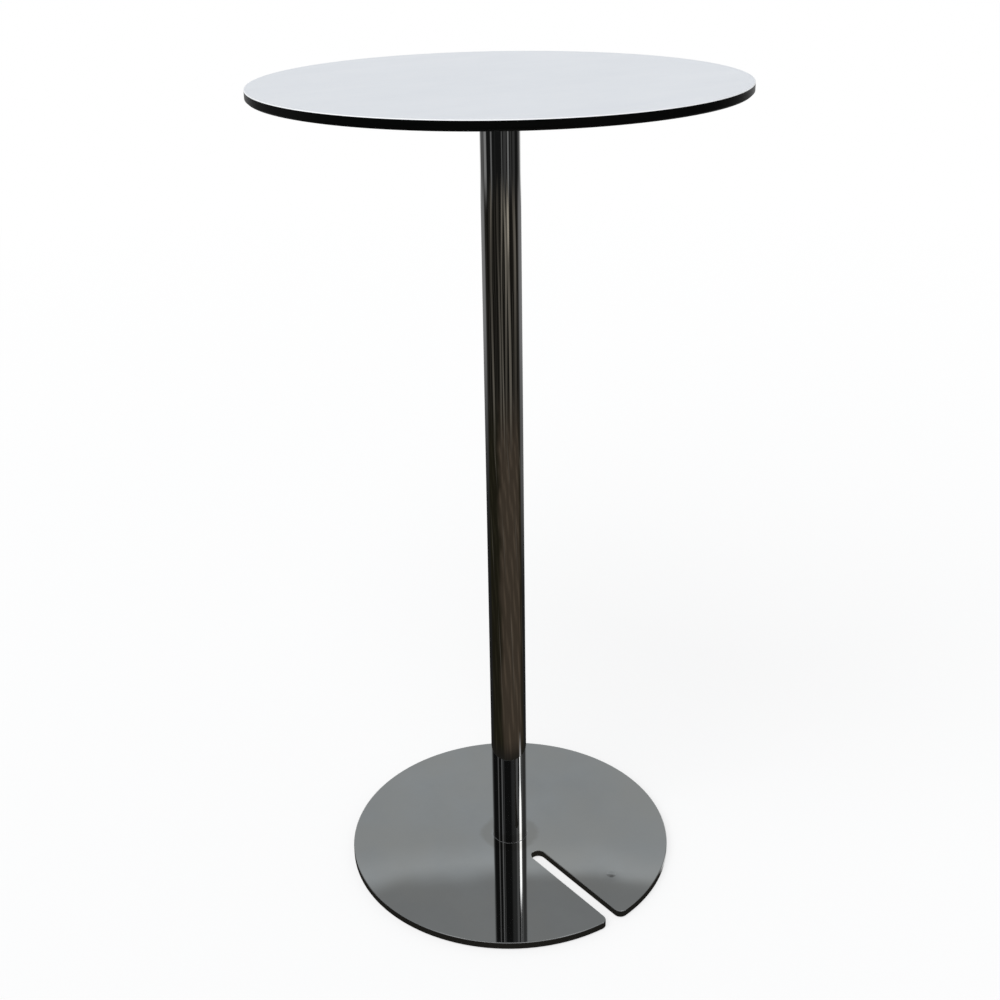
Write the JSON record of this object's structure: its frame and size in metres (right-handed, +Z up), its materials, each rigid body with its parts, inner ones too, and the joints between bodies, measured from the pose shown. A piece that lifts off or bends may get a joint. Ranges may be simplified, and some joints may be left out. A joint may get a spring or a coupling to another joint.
{
  "type": "pub table",
  "caption": "Round bar-height pedestal table: thin white laminate top with a black edge, slim chrome tube column and a flat polished round base plate with a radial slot.",
  "frame": {"origin": "centre of the base on the floor, on the column's axis", "axes": "+Z up along the column; the open slot in the base plate runs out along -Y"},
  "size_m": [0.5999, 0.6, 1.1],
  "materials": {
    "white_laminate": "white decor laminate, low satin gloss",
    "black_core": "black phenolic core, milled and eased edge, satin",
    "black_backing": "black backing laminate, matt",
    "insert_brass": "turned brass",
    "coated_steel": "black powder coat, fine texture",
    "zinc_steel": "bright zinc plate",
    "column_chrome": "bright chrome plate",
    "turned_steel": "plain turned steel",
    "black_bolt_steel": "black oxide",
    "polished_base_steel": "mirror-polished stainless steel with fine wear",
    "glide_nylon": "black nylon"
  },
  "bodies": {
    "root": {"tabletop_face_sheet": "white_laminate", "tabletop_core": "black_core", "tabletop_back_sheet": "black_backing", "threaded_inserts": "insert_brass", "top_plate": "coated_steel", "top_plate_screws": "zinc_steel", "top_plate_washers": "zinc_steel", "column_tube": "column_chrome", "column_top_plug": "turned_steel", "column_bottom_plug": "turned_steel", "column_top_bolts": "black_bolt_steel", "column_base_bolts": "black_bolt_steel", "base_plate": "polished_base_steel", "base_glide_1": "glide_nylon", "base_glide_2": "glide_nylon", "base_glide_3": "glide_nylon", "base_glide_4": "glide_nylon", "base_glide_5": "glide_nylon", "base_glide_6": "glide_nylon"}
  },
  "joints": []
}
